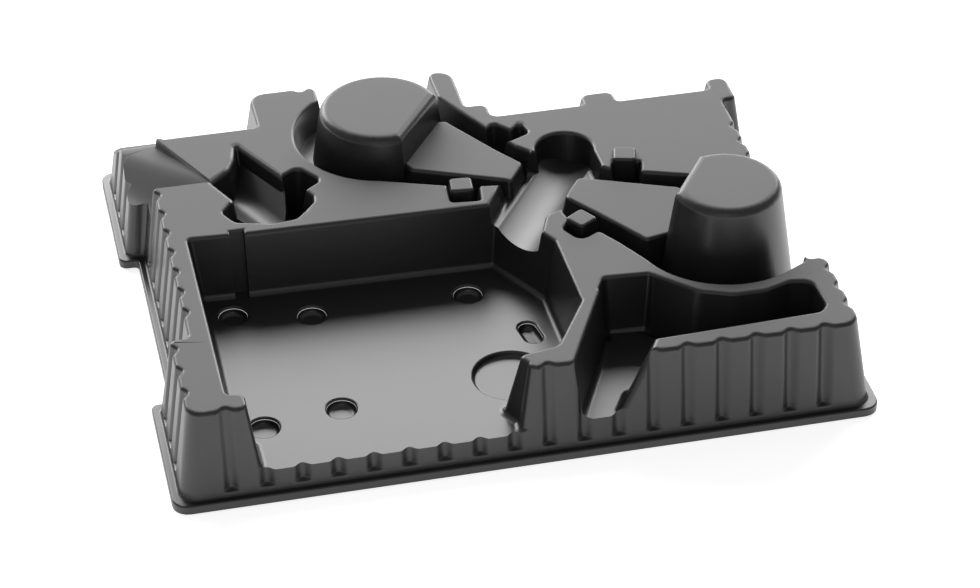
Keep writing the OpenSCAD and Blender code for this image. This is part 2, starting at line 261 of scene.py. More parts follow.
@dataclass
class Outline:
    """A closed plan outline with a radius at each corner, counter clockwise."""

    corners: Sequence[Corner]
    grooves: Sequence[tuple[int, float, float, float]] = ()
    groove_width: float = 9.0
    groove_depth: float = 2.8
    steps: int = 5

    def ring(self, draft: float, shift: float = 0.0, dip: float = 1.0) -> Points:
        """Points of the outline moved inward.

        Args:
            draft: Inward move that keeps the corner radii.
            shift: Inward move that lets the corner radii follow, as a skin does.
            dip: Share of the full groove depth.

        Returns:
            An array of plan points whose count doesn't depend on the moves.
        """
        parts = []
        for i in range(len(self.corners)):
            parts.append(self._corner(i, draft, shift))
            parts.extend(self._grooves(i, draft, shift, dip))
        return np.vstack(parts)

    def _point(self, i: int) -> Points:
        """Plan point of a corner."""
        c = self.corners[i % len(self.corners)]
        return np.array([c[0], c[1]], float)

    def _moved(self, i: int, move: float) -> Points:
        """A corner of the outline moved inward with both its sides.

        Args:
            i: Index of the corner.
            move: Inward move.

        Returns:
            The plan point.
        """
        a, b, c = self._point(i - 1), self._point(i), self._point(i + 1)
        u = (b - a) / np.linalg.norm(b - a)
        v = (c - b) / np.linalg.norm(c - b)
        nu = np.array([-u[1], u[0]])
        nv = np.array([-v[1], v[0]])
        return b + (nu + nv) * move / (1.0 + float(nu @ nv))

    def _corner(self, i: int, draft: float, shift: float) -> Points:
        """Points of one corner, rounded where it has a radius.

        Args:
            i: Index of the corner.
            draft: Inward move that keeps the corner radii.
            shift: Inward move that lets the corner radii follow.

        Returns:
            The points, a single one for a sharp corner.
        """
        b = self._moved(i, draft + shift)
        radius = self.corners[i][2]
        if radius == 0.0:
            return b[None, :]
        a = self._moved(i - 1, draft + shift)
        c = self._moved(i + 1, draft + shift)
        u = (a - b) / max(1e-9, np.linalg.norm(a - b))
        v = (c - b) / max(1e-9, np.linalg.norm(c - b))
        p, q, r = self._point(i - 1), self._point(i), self._point(i + 1)
        bend = (q - p)[0] * (r - q)[1] - (q - p)[1] * (r - q)[0]
        half = math.acos(max(-1.0, min(1.0, float(u @ v)))) / 2.0
        if half > math.radians(89.5):
            return b[None, :]
        want = max(0.5, radius - shift if bend > 0 else radius + shift)
        room = 0.45 * min(np.linalg.norm(a - b), np.linalg.norm(c - b))
        cut = min(want / math.tan(half), room)
        r_fit = cut * math.tan(half)
        middle = b + (u + v) / np.linalg.norm(u + v) * (r_fit / math.sin(half))
        p0 = b + u * cut - middle
        p1 = b + v * cut - middle
        start = math.atan2(p0[1], p0[0])
        cosine = float(p0 @ p1) / (np.linalg.norm(p0) * np.linalg.norm(p1))
        sweep = math.acos(max(-1.0, min(1.0, cosine)))
        if p0[0] * p1[1] - p0[1] * p1[0] < 0:
            sweep = -sweep
        angles = start + sweep * np.linspace(0.0, 1.0, self.steps + 1)
        return middle + r_fit * np.column_stack([np.cos(angles), np.sin(angles)])

    def _groove_centres(self, i: int) -> list[tuple[Points, Points, Points]]:
        """Places of the grooves along the side after a corner.

        Args:
            i: Index of that corner.

        Returns:
            The middle, the direction and the inward normal of each.
        """
        found = []
        for edge, before, after, pitch in self.grooves:
            if edge != i:
                continue
            a, b = self._point(i), self._point(i + 1)
            u = (b - a) / np.linalg.norm(b - a)
            inward = np.array([-u[1], u[0]])
            run = float(np.linalg.norm(b - a)) - before - after
            count = int(run // pitch) + 1
            first = before + (run - (count - 1) * pitch) / 2.0
            for k in range(count):
                found.append((a + u * (first + k * pitch), u, inward))
        return found

    def _grooves(self, i: int, draft: float, shift: float, dip: float) -> list[Points]:
        """Points of the grooves along the side after a corner.

        Args:
            i: Index of the corner.
            draft: Inward move that keeps the corner radii.
            shift: Inward move that lets the corner radii follow.
            dip: Share of the full groove depth.

        Returns:
            One array of points for each groove.
        """
        rows = []
        width = self.groove_width * 1.2 + shift * 0.6
        for centre, u, inward in self._groove_centres(i):
            t = np.linspace(-0.5, 0.5, 13)
            wave = (0.5 + 0.5 * np.cos(2 * np.pi * t)) * self.groove_depth * dip
            rows.append(
                centre
                + np.outer(t * width, u)
                + np.outer(wave + draft + shift, inward)
            )
        return rows


@dataclass
class Plan:
    """Plan outlines of every feature, measured from the photograph's view."""

    sizes: TraySizes
    left_centre: Pair = (160.0, 252.0)
    right_centre: Pair = (326.0, 111.0)
    tower_shift: Pair = (2.5, 3.5)

    def body(self) -> Outline:
        """Foot flange and fluted walls."""
        s = self.sizes
        w, d, c, step = s.width, s.depth, s.corner, s.side_step
        small = c * 0.55
        corners = [
            (0, 0, c), (w, 0, c), (w, 86, small), (w - step, 86, 3),
            (w - step, 229, 3), (w - 2, 229, small), (w - 2, 276, small),
            (348, 276, small), (348, 265, 3), (314, 265, 3), (314, 276, small),
            (271, 276, small), (271, 265, 3), (238, 265, small), (238, 279, small),
            (225, 279, 3), (225, d, c), (79, d, c), (79, 284, 3), (45, 284, 3),
            (45, d, small), (0, d, c - 2), (0, 226, small), (step, 226, 3),
            (step, 90, 3), (0, 90, 3.5),
        ]
        rows = [
            (0, 29, 29, s.flute_pitch), (1, 26, 19, s.right_pitch),
            (3, 60, 17, s.right_pitch), (16, 24, 39, s.flute_pitch),
            (21, 22, 18, s.flute_pitch), (23, 10, 10, s.flute_pitch),
            (25, 20.5, 31.5, s.flute_pitch),
        ]
        return Outline(corners, rows, s.flute_width, s.flute_depth)

    def tray(self) -> Outline:
        """Rim of the big open pocket."""
        return Outline([
            (43, -12, 0.6), (191, -12, 0.6), (193, 17, 2), (189, 24, 3),
            (212, 28, 8), (234, 65, 3), (233, 122, 3), (228, 131, 3),
            (209, 164, 2), (62, 166.5, 1.5), (34, 168.5, 2.5), (34, 26, 3),
            (43, 24, 4),
        ])

    def deep(self) -> Outline:
        """Rim of the deep pocket at the front right."""
        return Outline([
            (262, 22.5, 3), (357, 26, 6), (361, 32, 5), (360, 54, 6),
            (348, 56, 5), (334, 51, 14), (316, 51, 14), (298, 58, 20),
            (276, 80, 10), (250, 82, 4), (245, 72, 4),
        ])

    def chute_step(self) -> Outline:
        """Round ended step that carries the chute floor."""
        return Outline([
            (205, -20, 3), (290, -20, 3), (290, 30, 3), (280, 66, 8),
            (269, 77.5, 11), (254, 78, 9),
        ])

    def chute(self) -> tuple[Outline, Outline]:
        """Chute outlines at its floor and at the deck."""
        low = Outline([
            (211, -12, 0.6), (238, -12, 0.6), (241.5, 11.5, 5), (249, 24, 3),
            (262, 26, 3), (285, 60, 3), (273, 77, 3), (253, 78, 3),
            (248.5, 67, 6),
        ])
        high = Outline([
            (204.6, -12, 0.6), (257, -12, 0.6), (259, 13, 5), (264, 22.5, 3),
            (272, 26, 3), (287, 62, 3), (276, 80, 3), (250, 82, 3),
            (246.5, 73, 6),
        ])
        return low, high

    def left_channel(self) -> Outline:
        """Channel round the left tower and wing."""
        ring = self._arc(self.left_centre, self.sizes.ring_radius, 126, 258, 5.5)
        return Outline([
            (203.5, 184, 2), (214, 182.5, 4), (228, 190, 4), (238, 201, 5),
            (240, 212, 3), (233, 219, 3), (222, 239, 4), (200, 281, 6),
            (199, 345, 0.6), (131, 345, 0.6), *ring, (186, 188.5, 1.5),
            (184.5, 171.5, 2), (201.5, 169.5, 2),
        ])

    def right_channel(self) -> Outline:
        """Channel round the right tower and wing."""
        ring = self._arc(self.right_centre, self.sizes.ring_radius, 200, 296, 6)
        return Outline([
            (244, 148, 2), (246, 139, 1.5), (240, 132, 3), (247, 119, 5),
            (259, 126, 3), (268, 112, 8), *ring, (361, 72, 3), (364, 78, 3),
            (400, 78, 0.6), (400, 138, 0.6), (364, 153, 6), (297, 177, 3),
            (300, 188, 1.5), (285, 193, 1.5), (281, 183.5, 2), (270, 193, 3),
            (262, 183, 3), (250, 165, 4),
        ])

    def clip(self) -> Outline:
        """Clip notch behind the left channel."""
        return Outline([
            (224, 224, 2), (232.5, 226, 2), (244, 231.5, 3.5), (241.5, 244, 3.5),
            (234, 236, 2), (226, 246, 3), (219, 240, 2),
        ])

    def saddle(self) -> Outline:
        """Saddle between the two islands, with its round end."""
        return Outline([
            (199, 154, 0.6), (222, 120, 0.6), (229, 134, 4), (234, 147, 6),
            (243, 151, 3), (262, 160, 3), (277, 190, 3),
            *self._arc((260, 210), 17, -15, 175, 9.5), (226, 206, 4),
            (212, 176, 3),
        ])

    def left_wing(self) -> Outline:
        """Low platform beside the left tower."""
        return Outline([
            (170, 211, 3), (219, 190, 4), (223, 187, 4), (234, 204, 4),
            (222, 221, 10), (200, 257, 3), (176, 262, 3), (158, 236, 3),
        ])

    def right_wing(self) -> Outline:
        """Low platform beside the right tower."""
        return Outline([
            (283.5, 114, 3), (302, 118, 3), (328, 148, 3), (314, 161, 3),
            (273, 178, 12), (261, 183, 5), (249, 165, 5), (264, 144, 12),
        ])

    def channel_ledge(self) -> Outline:
        """Ledge in the left channel, reaching under the wall and the tower."""
        return Outline([
            (100, 246, 2), (150, 246, 2), (150.5, 291.5, 2), (128, 302, 2),
            (100, 300, 2),
        ])

    def cradle(self) -> Outline:
        """Cradle behind the tray pocket."""
        return Outline([
            (55.5, 221.5, 1), (65, 202, 2), (62, 180, 3), (84, 174, 4),
            (104, 182, 4), (101, 214, 4), (95, 217, 2), (74.5, 257, 1),
            (72, 243, 12), (67, 231, 12),
        ])

    def notches(self) -> list[Outline]:
        """Deep finger notches at both sides of the cradle."""
        return [
            Outline([
                (57, 190, 3), (62, 180, 4), (74, 180, 3), (72, 196, 3),
                (64, 200, 3),
            ]),
            Outline([
                (82, 173, 2), (97, 175, 5), (109, 189, 4), (110, 195, 3),
                (106.5, 202, 2), (117, 210, 4), (106, 226, 5), (96, 219, 3),
                (93, 203, 6),
            ]),
        ]

    @staticmethod
    def _arc(
        centre: Pair, radius: float, start: float, end: float, step: float
    ) -> list[Corner]:
        """Sharp corners along an arc.

        Args:
            centre: Middle in plan.
            radius: Radius of the arc.
            start: First angle, degrees.
            end: Last angle, degrees.
            step: Angle between points, degrees.

        Returns:
            The corners.
        """
        angles = np.radians(np.arange(start, end + 0.01, step))
        return [
            (centre[0] + radius * math.cos(a), centre[1] + radius * math.sin(a), 0.0)
            for a in angles
        ]


class Solid:
    """A closed mesh in plan millimetres that other closed meshes act on."""

    def __init__(self, mesh: bpy.types.Mesh) -> None:
        """Keeps the mesh."""
        self.mesh = mesh

    @classmethod
    def from_rings(cls, rings: Sequence[tuple[float, Points]]) -> "Solid":
        """Closed mesh through rings of equal point counts.

        Args:
            rings: Heights and plan points, from the lowest ring to the highest.

        Returns:
            The closed solid.
        """
        n = len(rings[0][1])
        points = np.vstack([np.column_stack([p, np.full(n, z)]) for z, p in rings])
        faces: list[list[int]] = []
        for k in range(len(rings) - 1):
            low, high = k * n, (k + 1) * n
            for i in range(n):
                j = (i + 1) % n
                faces.append([low + i, low + j, high + j, high + i])
        faces.append(list(range(n - 1, -1, -1)))
        last = (len(rings) - 1) * n
        faces.append([last + i for i in range(n)])
        return cls._tidy(points, faces)

    @classmethod
    def above(cls, grid: Points, top: float) -> "Solid":
        """Closed solid between a grid of points and a level top.

        Args:
            grid: Rows of points in plan millimetres, all of one length.
            top: Height of the level top.

        Returns:
            The closed solid.
        """
        m, n = grid.shape[:2]
        low = grid.reshape(-1, 3)
        high = low.copy()
        high[:, 2] = top
        size = m * n
        faces: list[list[int]] = []
        for i in range(m - 1):
            for j in range(n - 1):
                cell = [i * n + j, i * n + j + 1, (i + 1) * n + j + 1, (i + 1) * n + j]
                faces.append(cell[::-1])
                faces.append([c + size for c in cell])
        rim = [*range(n), *(i * n + n - 1 for i in range(1, m))]
        rim += [(m - 1) * n + j for j in range(n - 2, -1, -1)]
        rim += [i * n for i in range(m - 2, 0, -1)]
        for a, b in zip(rim, rim[1:] + rim[:1]):
            faces.append([a, b, b + size, a + size])
        return cls._tidy(np.vstack([low, high]), faces)

    @classmethod
    def _tidy(cls, points: Points, faces: list[list[int]]) -> "Solid":
        """Mesh of triangles with joined points and outward normals.

        Args:
            points: Places of all points.
            faces: Point indices of each face.

        Returns:
            The closed solid.
        """
        mesh = bpy.data.meshes.new("solid")
        mesh.from_pydata(points.tolist(), [], faces)
        bm = bmesh.new()
        bm.from_mesh(mesh)
        bmesh.ops.remove_doubles(bm, verts=bm.verts, dist=1e-5)
        bmesh.ops.triangulate(bm, faces=bm.faces)
        bmesh.ops.recalc_face_normals(bm, faces=bm.faces)
        bm.to_mesh(mesh)
        bm.free()
        return cls(mesh)

    def blended(self, other: "Solid", how: Blend) -> "Solid":
        """This solid joined with, cut by or kept inside another one.

        Args:
            other: The solid that acts.
            how: What it does.

        Returns:
            A new solid.
        """
        target = placed("target", self.mesh)
        tool = placed("tool", other.mesh)
        modifier = target.modifiers.new("blend", "BOOLEAN")
        modifier.solver = "MANIFOLD"
        modifier.operation = how.value
        modifier.object = tool
        depsgraph = bpy.context.evaluated_depsgraph_get()
        mesh = bpy.data.meshes.new_from_object(target.evaluated_get(depsgraph))
        bpy.data.objects.remove(target)
        bpy.data.objects.remove(tool)
        if not mesh.polygons:
            raise RuntimeError(f"{how.value} left nothing")
        return Solid(mesh)

    def join(self, other: "Solid") -> "Solid":
        """Union with another solid."""
        return self.blended(other, Blend.JOIN)

    def cut(self, other: "Solid") -> "Solid":
        """This solid without another one."""
        return self.blended(other, Blend.CUT)

    def keep(self, other: "Solid") -> "Solid":
        """What this solid shares with another one."""
        return self.blended(other, Blend.KEEP)


class Profile:
    """Vertical sections of pockets and bosses, with soft edges."""

    @staticmethod
    def pocket(
        ring: RingAt, floor: float, deck: float, floor_round: float, rim_round: float
    ) -> list[tuple[float, Points]]:
        """Rings of a cutter for a pocket.

        Args:
            ring: Gives the points at a height, moved inward by a shift.
            floor: Height of the pocket's floor.
            deck: Height of the deck it is cut into.
            floor_round: Radius at the foot of the wall.
            rim_round: Radius at the edge of the deck.

        Returns:
            Rings from the floor to above the deck.
        """
        rings = []
        if floor_round > 0:
            for a in np.radians([0, 18, 38, 58, 76]):
                z = floor + floor_round * (1 - math.cos(a))
                rings.append((z, ring(z, floor_round * (1 - math.sin(a)))))
            rings.append((floor + floor_round, ring(floor + floor_round, 0.0)))
        else:
            rings.append((floor, ring(floor, 0.0)))
        if rim_round > 0:
            for a in np.radians([4, 24, 44, 64, 84]):
                z = deck - rim_round * (1 - math.sin(a))
                rings.append((z, ring(z, -rim_round * (1 - math.cos(a)))))
            rings.append((deck + 0.02, ring(deck, -rim_round * 1.02)))
            rings.append((deck + CLEAR, ring(deck, -rim_round * 1.02)))
        else:
            rings.append((deck + CLEAR, ring(deck + CLEAR, 0.0)))
        return rings

    @staticmethod
    def boss(
        ring: RingAt, foot: float, top: float, top_round: float
    ) -> list[tuple[float, Points]]:
        """Rings of a boss that stands up from its foot.

        Args:
            ring: Gives the points at a height, moved inward by a shift.
            foot: Height of the lowest ring.
            top: Height of the top.
            top_round: Radius at the top edge.

        Returns:
            Rings from the foot to the top.
        """
        rings = [(foot, ring(foot, 0.0))]
        if top_round > 0:
            for a in np.radians([0, 15, 30, 45, 60, 75, 90]):
                z = top - top_round * (1 - math.sin(a))
                rings.append((z, ring(z, top_round * (1 - math.cos(a)))))
        else:
            rings.append((top, ring(top, 0.0)))
        return rings


class Pattern:
    """Node tree that stands one shape at every point of a list."""

    INPUTS = (
        ("Spots", "NodeSocketGeometry"),
        ("Shape", "NodeSocketObject"),
        ("Size", "NodeSocketFloat"),
        ("Finish", "NodeSocketMaterial"),
    )

    def __init__(self, name: str, finish: bpy.types.Material) -> None:
        """Builds the node tree.

        Args:
            name: Name of the tree.
            finish: Material of the copies.
        """
        self.finish = finish
        self.tree = bpy.data.node_groups.new(name, "GeometryNodeTree")
        face = self.tree.interface
        self.keys = {
            label: face.new_socket(label, in_out="INPUT", socket_type=kind).identifier
            for label, kind in self.INPUTS
        }
        face.new_socket("Result", in_out="OUTPUT", socket_type="NodeSocketGeometry")
        start, end = self._node("NodeGroupInput"), self._node("NodeGroupOutput")
        points = self._node("GeometryNodeMeshToPoints")
        shape = self._node("GeometryNodeObjectInfo")
        turn = self._node("GeometryNodeInputNamedAttribute")
        turn.data_type = "FLOAT"
        turn.inputs["Name"].default_value = "turn"
        spin = self._node("ShaderNodeCombineXYZ")
        place = self._node("GeometryNodeInstanceOnPoints")
        real = self._node("GeometryNodeRealizeInstances")
        coat = self._node("GeometryNodeSetMaterial")
        link = self.tree.links.new
        link(start.outputs["Spots"], points.inputs["Mesh"])
        link(start.outputs["Shape"], shape.inputs["Object"])
        link(points.outputs["Points"], place.inputs["Points"])
        link(shape.outputs["Geometry"], place.inputs["Instance"])
        link(turn.outputs["Attribute"], spin.inputs["Z"])
        link(spin.outputs["Vector"], place.inputs["Rotation"])
        link(start.outputs["Size"], place.inputs["Scale"])
        link(place.outputs["Instances"], real.inputs["Geometry"])
        link(real.outputs["Geometry"], coat.inputs["Geometry"])
        link(start.outputs["Finish"], coat.inputs["Material"])
        link(coat.outputs["Geometry"], end.inputs["Result"])

    def _node(self, kind: str) -> bpy.types.Node:
        """Adds one node."""
        return self.tree.nodes.new(kind)

    def build(self, shape: Solid, spots: Sequence[Triple]) -> Solid:
        """Stands the shape at each spot.

        Args:
            shape: The solid that repeats, made round the plan's zero.
            spots: Plan x and y of each place and the turn there in degrees.

        Returns:
            All the places as one solid.
        """
        mesh = bpy.data.meshes.new("spots")
        mesh.from_pydata([(x, y, 0.0) for x, y, _ in spots], [], [])
        turns = mesh.attributes.new("turn", "FLOAT", "POINT")
        turns.data.foreach_set("value", [math.radians(t) for _, _, t in spots])
        holder = placed("spots", mesh)
        model = placed("shape", shape.mesh)
        modifier = holder.modifiers.new("pattern", "NODES")
        modifier.node_group = self.tree
        modifier[self.keys["Shape"]] = model
        modifier[self.keys["Size"]] = 1.0
        modifier[self.keys["Finish"]] = self.finish
        depsgraph = bpy.context.evaluated_depsgraph_get()
        result = bpy.data.meshes.new_from_object(holder.evaluated_get(depsgraph))
        holder.modifiers.remove(modifier)
        for one in (holder, model):
            bpy.data.objects.remove(one)
        return Solid(result)


@dataclass
class TrayForm:
    """The whole tray as a closed form, for one side of the sheet."""

    sizes: TraySizes
    rounding: Rounding
    pattern: Pattern
    low_corner: LowCorner = LowCorner()
    plan: Plan = field(init=False)

    def __post_init__(self) -> None:
        """Sets up the plan."""
        self.plan = Plan(self.sizes)

    def build(self, skin: Skin) -> Solid:
        """Builds the form for one skin.

        Args:
            skin: Which side of the sheet the form stands for.

        Returns:
            The closed form.
        """
        s = 0.0 if skin is Skin.OUTER else self.sizes.sheet
        form = self._body(s)
        z = self.sizes
        for outline, floor in (
            (self.plan.left_channel(), z.channel_floor),
            (self.plan.right_channel(), z.channel_floor),
            (self.plan.clip(), z.clip_floor),
            (self.plan.saddle(), z.saddle_floor + 1.5),
        ):
            form = form.cut(self._pocket(outline, floor, s))
        form = form.cut(self._saddle_hollow(s))
        for island in self._islands(s):
            form = form.join(island)
        for cutter in self._front_pockets(s):
            form = form.cut(cutter)
        for cutter in [*self._cradle(s), self._corner_ramp(s), *self._dimples(s)]:
            form = form.cut(cutter)
        LOG.info("%s skin has %d faces", skin.value, len(form.mesh.polygons))
        return form

    def _soft(self, radius: float, s: float) -> float:
        """The radius on the outer skin, nought on the inner one."""
        return radius if s == 0 else 0.0

    def _body(self, s: float) -> Solid:
        """Foot lip and fluted walls up to the deck.

        Args:
            s: Depth below the outer skin, nought for that skin itself.

        Returns:
            The closed body.
        """
        z = self.sizes
        outline = self.plan.body()
        plain = Outline(outline.corners)
        lip_round = self._soft(self.rounding.lip, s)
        lip = Solid.from_rings(
            Profile.boss(
                lambda h, shift: plain.ring(0.0, s + shift),
                -1.0 if s else 0.0,
                z.lip - s,
                lip_round,
            )
        )

        def ring(h: float, shift: float, dip: float = 1.0) -> Points:
            """Plan points at a height, moved inward by a shift."""
            inset = z.ledge + (h - z.lip) * z.slope
            return outline.ring(inset, s + shift, dip)

        foot_round = self._soft(self.rounding.foot, s)
        rings = [(1.0, ring(z.lip, -foot_round, 0.0))]
        if foot_round:
            for a in np.radians([6, 25, 45, 65, 90]):
                h = z.lip + foot_round * (1 - math.cos(a))
                rings.append((h, ring(h, -foot_round * (1 - math.sin(a)), 0.0)))
        foot = z.flute_foot - s
        for rise, dip in ((0.0, 0.0), (0.25, 0.35), (0.55, 0.75), (0.9, 0.95), (1.4, 1.0)):
            rings.append((foot + rise, ring(foot + rise, 0.0, dip)))
        top = z.deck - s
        top_round = self._soft(self.rounding.deck_edge, s)
        if top_round:
            for a in np.radians([0, 18, 36, 54, 72, 90]):
                h = top - top_round * (1 - math.sin(a))
                rings.append((h, ring(h, top_round * (1 - math.cos(a)))))
        else:
            rings.append((top, ring(top, 0.0)))
        return lip.join(Solid.from_rings(rings))

    def _pocket(
        self, outline: Outline, floor: float, s: float, rim: float | None = None
    ) -> Solid:
        """Cutter of a pocket with drafted walls.

        Args:
            outline: Rim at the height of the deck.
            floor: Height of the floor in the outer skin.
            s: Depth below the outer skin, nought for that skin itself.
            rim: Radius at the edge of the deck, if not the usual one.

        Returns:
            The cutter.
        """
        z = self.sizes

        def ring(h: float, shift: float) -> Points:
            """Plan points at a height, moved inward by a shift."""
            return outline.ring((z.deck - h) * z.slope, shift - s * z.wall_scale)

        return self._cutter(ring, floor, s, rim)

    def _cutter(self, ring: RingAt, floor: float, s: float, rim: float | None = None) -> Solid:
        """Cutter down to a floor, with the soft edges that pockets share.

        Args:
            ring: Gives the points at a height, moved inward by a shift.
            floor: Height of the floor in the outer skin.
            s: Depth below the outer skin, nought for that skin itself.
            rim: Radius at the edge of the deck, if not the usual one.

        Returns:
            The cutter.
        """
        soft_floor = self._soft(self.rounding.floor, s)
        soft_rim = self._soft(self.rounding.rim if rim is None else rim, s)
        return Solid.from_rings(
            Profile.pocket(ring, floor - s, self.sizes.deck, soft_floor, soft_rim)
        )

    def _raised(self, outline: Outline, top: float, foot: float, s: float) -> Solid:
        """Form with drafted walls that stands up from its foot.

        Args:
            outline: Outline at the top.
            top: Height of the top.
            foot: Height of the foot.
            s: Depth below the outer skin, nought for that skin itself.

        Returns:
            The form.
        """
        z = self.sizes

        def ring(h: float, shift: float) -> Points:
            """Plan points at a height, moved inward by a shift."""
            return outline.ring(-(top - s - h) * z.slope, shift + s * z.wall_scale)

        return Solid.from_rings(
            Profile.boss(ring, foot, top - s, self._soft(self.rounding.wing, s))
        )

    def _saddle_hollow(self, s: float) -> Solid:
        """Cutter of the saddle's round bottom.

        Args:
            s: Depth below the outer skin, nought for that skin itself.

        Returns:
            The cutter.
        """
        z = self.sizes
        pipe = self._pipe(
            (241, 182, z.saddle_floor - 2.5 + z.saddle_radius), 55.9, z.saddle_radius + s
        )
        return self._pocket(self.plan.saddle(), z.saddle_floor - SPARE, s).keep(pipe)

    def _tower(
        self, centre: Pair, radius: float, flat: float, facing: float, lean: float,
        top: float, s: float,
    ) -> Solid:
        """Tapering round tower with one flat side.

        Args:
            centre: Middle in plan.
            radius: Radius at the top.
            flat: Distance of the flat side from the middle, at the top.
            facing: Direction in which the flat side faces, degrees.
            lean: Run of the flat side per millimetre of height.
            top: Height of the top.
            s: Depth below the outer skin, nought for that skin itself.

        Returns:
            The tower.
        """
        c = np.array(centre, float)
        n = np.array([math.cos(math.radians(facing)), math.sin(math.radians(facing))])
        half = math.degrees(math.acos(flat / radius))
        slope = math.tan(math.radians(self.sizes.tower_draft))

        def ring(h: float, shift: float) -> Points:
            """Plan points at a height, moved inward by a shift."""
            r = radius + (top - h) * slope - s - shift
            f = flat + (top - h) * lean - s - shift
            angles = np.radians(facing + half + np.linspace(0, 360 - 2 * half, 90))
            q = r * np.column_stack([np.cos(angles), np.sin(angles)])
            past = np.maximum(0.0, q @ n - f)
            return c + q - past[:, None] * n

        foot = self.sizes.channel_floor - s - 0.8
        rounding = self.rounding.tower if s == 0 else self.rounding.tower - s
        return Solid.from_rings(Profile.boss(ring, foot, top - s, rounding))

    def _nubs(self, s: float) -> Solid:
        """The snap nubs at the deck edges.

        Args:
            s: Depth below the outer skin, nought for that skin itself.

        Returns:
            All of them as one solid.
        """
        z = self.sizes
        top = z.deck + z.nub_rise
        foot = z.channel_floor - 2
        rate = z.nub_spread / (top - foot)
        half = z.nub_side / 2
        signs = ((-1, -1), (1, -1), (1, 1), (-1, 1))
        square = Outline([(half * u, half * v, z.nub_corner) for u, v in signs])

        def ring(h: float, shift: float) -> Points:
            """Plan points at a height, moved inward by a shift."""
            return square.ring(-(top - h) * rate, shift + s)

        nub = Solid.from_rings(
            Profile.boss(ring, foot, top - s, self._soft(self.rounding.nub, s))
        )
        return self.pattern.build(nub, [(193, 183.5, -5), (251.5, 136, 33), (291.5, 193.5, -14)])

    def _islands(self, s: float) -> list[Solid]:
        """Wings, towers, ledge and nubs.

        Args:
            s: Depth below the outer skin, nought for that skin itself.

        Returns:
            The forms to join.
        """
        z, p = self.sizes, self.plan
        foot = z.channel_floor - SPARE
        right = (p.right_centre[0] + p.tower_shift[0], p.right_centre[1] + p.tower_shift[1])
        return [
            self._raised(p.left_wing(), z.wing, foot, s),
            self._tower(
                p.left_centre, z.left_tower_radius, z.left_flat, -35, 0.37, z.left_tower, s
            ),
            self._raised(p.right_wing(), z.wing, foot, s),
            self._tower(
                right, z.right_tower_radius, z.right_flat, 145.5, 0.515, z.right_tower, s
            ),
            self._raised(p.channel_ledge(), z.ledge_top, foot, s),
            self._nubs(s),
        ]

    def _front_pockets(self, s: float) -> list[Solid]:
        """Tray, slot, deep pocket, chute and their corners.

        Args:
            s: Depth below the outer skin, nought for that skin itself.

        Returns:
            The cutters.
        """
        z, p = self.sizes, self.plan
        step = self._raised(p.chute_step(), z.chute_floor, z.deep_floor - SPARE, s)
        deep = self._pocket(p.deep(), z.deep_floor, s).cut(step)
        return [
            self._pocket(p.tray(), z.tray_floor, s),
            self._tray_slot(s),
            deep,
            self._chute(s),
            *self._exit_corners(s),
        ]

    def _tray_slot(self, s: float) -> Solid:
        """Cutter of the narrow slot in the tray's back wall.

        Args:
            s: Depth below the outer skin, nought for that skin itself.

        Returns:
            The cutter.
        """
        z = self.sizes
        half = 4.0 + s

        def ring(h: float, shift: float) -> Points:
            """Plan points at a height, moved inward by a shift."""
            deep = 171 + s - (z.deck - h) * z.slope - shift
            w = half - shift
            return np.array([[62 - w, 150], [62 + w, 150], [62 + w, deep], [62 - w, deep]])

        rim = self._soft(self.rounding.tray_slot, s)
        return Solid.from_rings(Profile.pocket(ring, z.tray_floor - s, z.deck, 0.0, rim))

    def _chute(self, s: float) -> Solid:
        """Cutter between the chute's low and high outline.

        Args:
            s: Depth below the outer skin, nought for that skin itself.

        Returns:
            The cutter.
        """
        z = self.sizes
        low, high = self.plan.chute()
        grow = -s * z.wall_scale

        def ring(h: float, shift: float) -> Points:
            """Plan points at a height, moved inward by a shift."""
            t = (h + s - z.chute_floor) / (z.deck - z.chute_floor)
            a = low.ring(0.0, grow + shift)
            b = high.ring(0.0, grow + shift)
            return a + (b - a) * t

        return self._cutter(ring, z.chute_floor, s)

    def _exit_corners(self, s: float) -> list[Solid]:
        """Rounds the upright corners where pockets leave through a wall.

        Args:
            s: Depth below the outer skin, nought for that skin itself.

        Returns:
            The cutters.
        """
        z = self.sizes
        front = z.ledge + (z.deck - z.lip) * z.slope
        back = z.depth - front
        places = (
            (43, front, -90, 0, z.slope, z.tray_floor),
            (192.6, front, -90, 176, z.slope, z.tray_floor),
            (216.3, front, -90, -26.2, 0.16, z.chute_floor),
            (258.9, front, -90, 175.4, 0.5, z.chute_floor),
            (130.2, back, 90, -1.1, z.slope, z.channel_floor),
            (199.6, back, 90, 180.9, z.slope, z.channel_floor),
        )
        return [self._exit_corner((x, y), *rest, s) for x, y, *rest in places]

    def _exit_corner(
        self, at: Pair, wall_out: float, side_out: float, side_rate: float,
        floor: float, s: float,
    ) -> Solid:
        """One such cutter.

        Args:
            at: The corner at the height of the deck.
            wall_out: Direction in which the outer wall faces, degrees.
            side_out: Direction in which the side of the pocket faces, degrees.
            side_rate: Run of that side per millimetre of height.
            floor: Height of the pocket's floor.
            s: Depth below the outer skin.

        Returns:
            The cutter.
        """
        z = self.sizes
        wall, side = (
            np.array([math.cos(a), math.sin(a)]) for a in np.radians([wall_out, side_out])
        )
        c = float(wall @ side)
        reach = z.exit_radius * (wall + side) / (1 + c)
        drift = wall * (z.slope - c * side_rate) + side * (side_rate - c * z.slope)
        drift = drift / (1 - c * c)
        sweep = (side_out - wall_out + 540) % 360 - 180
        turns = np.linspace(0, 1, 11) if sweep < 0 else np.linspace(1, 0, 11)
        angles = np.radians(wall_out + sweep * turns)
        unit = np.column_stack([np.cos(angles), np.sin(angles)])

